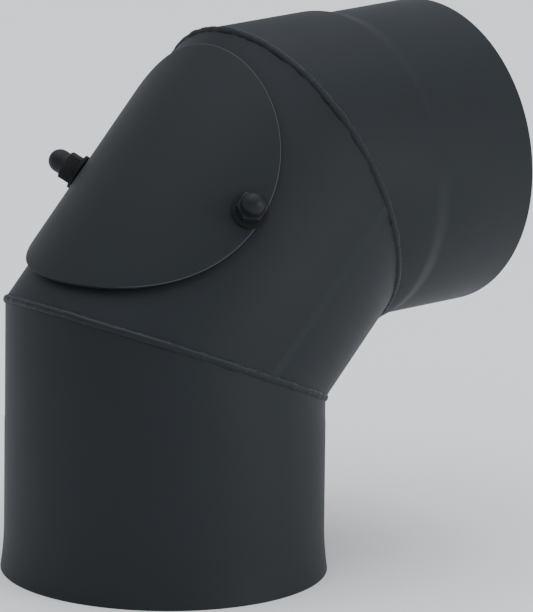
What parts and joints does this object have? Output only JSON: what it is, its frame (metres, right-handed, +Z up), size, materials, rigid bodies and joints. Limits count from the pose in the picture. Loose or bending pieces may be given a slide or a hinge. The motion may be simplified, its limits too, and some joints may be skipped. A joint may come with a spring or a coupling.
{
  "type": "flue elbow",
  "caption": "Mitred right-angle stove-pipe elbow in painted steel with a gasketed cleaning cover held by domed nuts.",
  "frame": {"origin": "centre of the lower opening, in the plane of its rim", "axes": "+Z up the lower leg's axis, +X along the upper leg's axis towards the spigot, -Y the side that shows the middle segment's weld"},
  "size_m": [0.2489, 0.1578, 0.26],
  "materials": {
    "charcoal_paint": "matt heat-resistant paint",
    "glass_fibre": "woven tape",
    "mill_steel": "bare mill steel",
    "zinc_steel": "zinc-plated thread"
  },
  "bodies": {
    "elbow": {"lower_segment": "charcoal_paint", "middle_segment": "charcoal_paint", "upper_segment": "charcoal_paint", "lower_mitre_weld": "charcoal_paint", "upper_mitre_weld": "charcoal_paint", "lower_seam_weld": "charcoal_paint", "middle_seam_weld": "charcoal_paint", "upper_seam_weld": "charcoal_paint", "left_stud": "zinc_steel", "right_stud": "zinc_steel", "left_stud_weld": "charcoal_paint", "right_stud_weld": "charcoal_paint"},
    "cover": {"cover": "charcoal_paint", "cover_gasket": "glass_fibre", "cover_locating_plate": "mill_steel"},
    "left_washer": {"left_washer": "charcoal_paint"},
    "right_washer": {"right_washer": "charcoal_paint"},
    "left_cap_nut": {"left_cap_nut": "charcoal_paint"},
    "right_cap_nut": {"right_cap_nut": "charcoal_paint"}
  },
  "joints": [
    {"name": "cover_lift", "type": "slide", "parent": "elbow", "child": "cover", "axis": [-0.7071, 0, 0.7071], "range_m": [0, 0.05]},
    {"name": "left_washer_slide", "type": "slide", "parent": "elbow", "child": "left_washer", "axis": [-0.4822, 0.7314, 0.4822], "range_m": [0, 0.0376]},
    {"name": "right_washer_slide", "type": "slide", "parent": "elbow", "child": "right_washer", "axis": [-0.4822, -0.7314, 0.4822], "range_m": [0, 0.0376]},
    {"name": "left_nut_turn", "type": "hinge", "parent": "left_washer", "child": "left_cap_nut", "pos_m": [-0.00434, 0.06136, 0.18535], "axis": [-0.4822, 0.7314, 0.4822], "range_deg": [0, 10802]},
    {"name": "right_nut_turn", "type": "hinge", "parent": "right_washer", "child": "right_cap_nut", "pos_m": [-0.00123, -0.06136, 0.18846], "axis": [-0.4822, -0.7314, 0.4822], "range_deg": [0, 10802]}
  ],
  "couplings": [
    {"joint": "left_washer_slide", "follows": "cover_lift", "ratio": 0.75},
    {"joint": "right_washer_slide", "follows": "cover_lift", "ratio": 0.75},
    {"joint": "left_nut_turn", "follows": "cover_lift", "rad_per_m": 3769.9},
    {"joint": "right_nut_turn", "follows": "cover_lift", "rad_per_m": 3769.9}
  ]
}
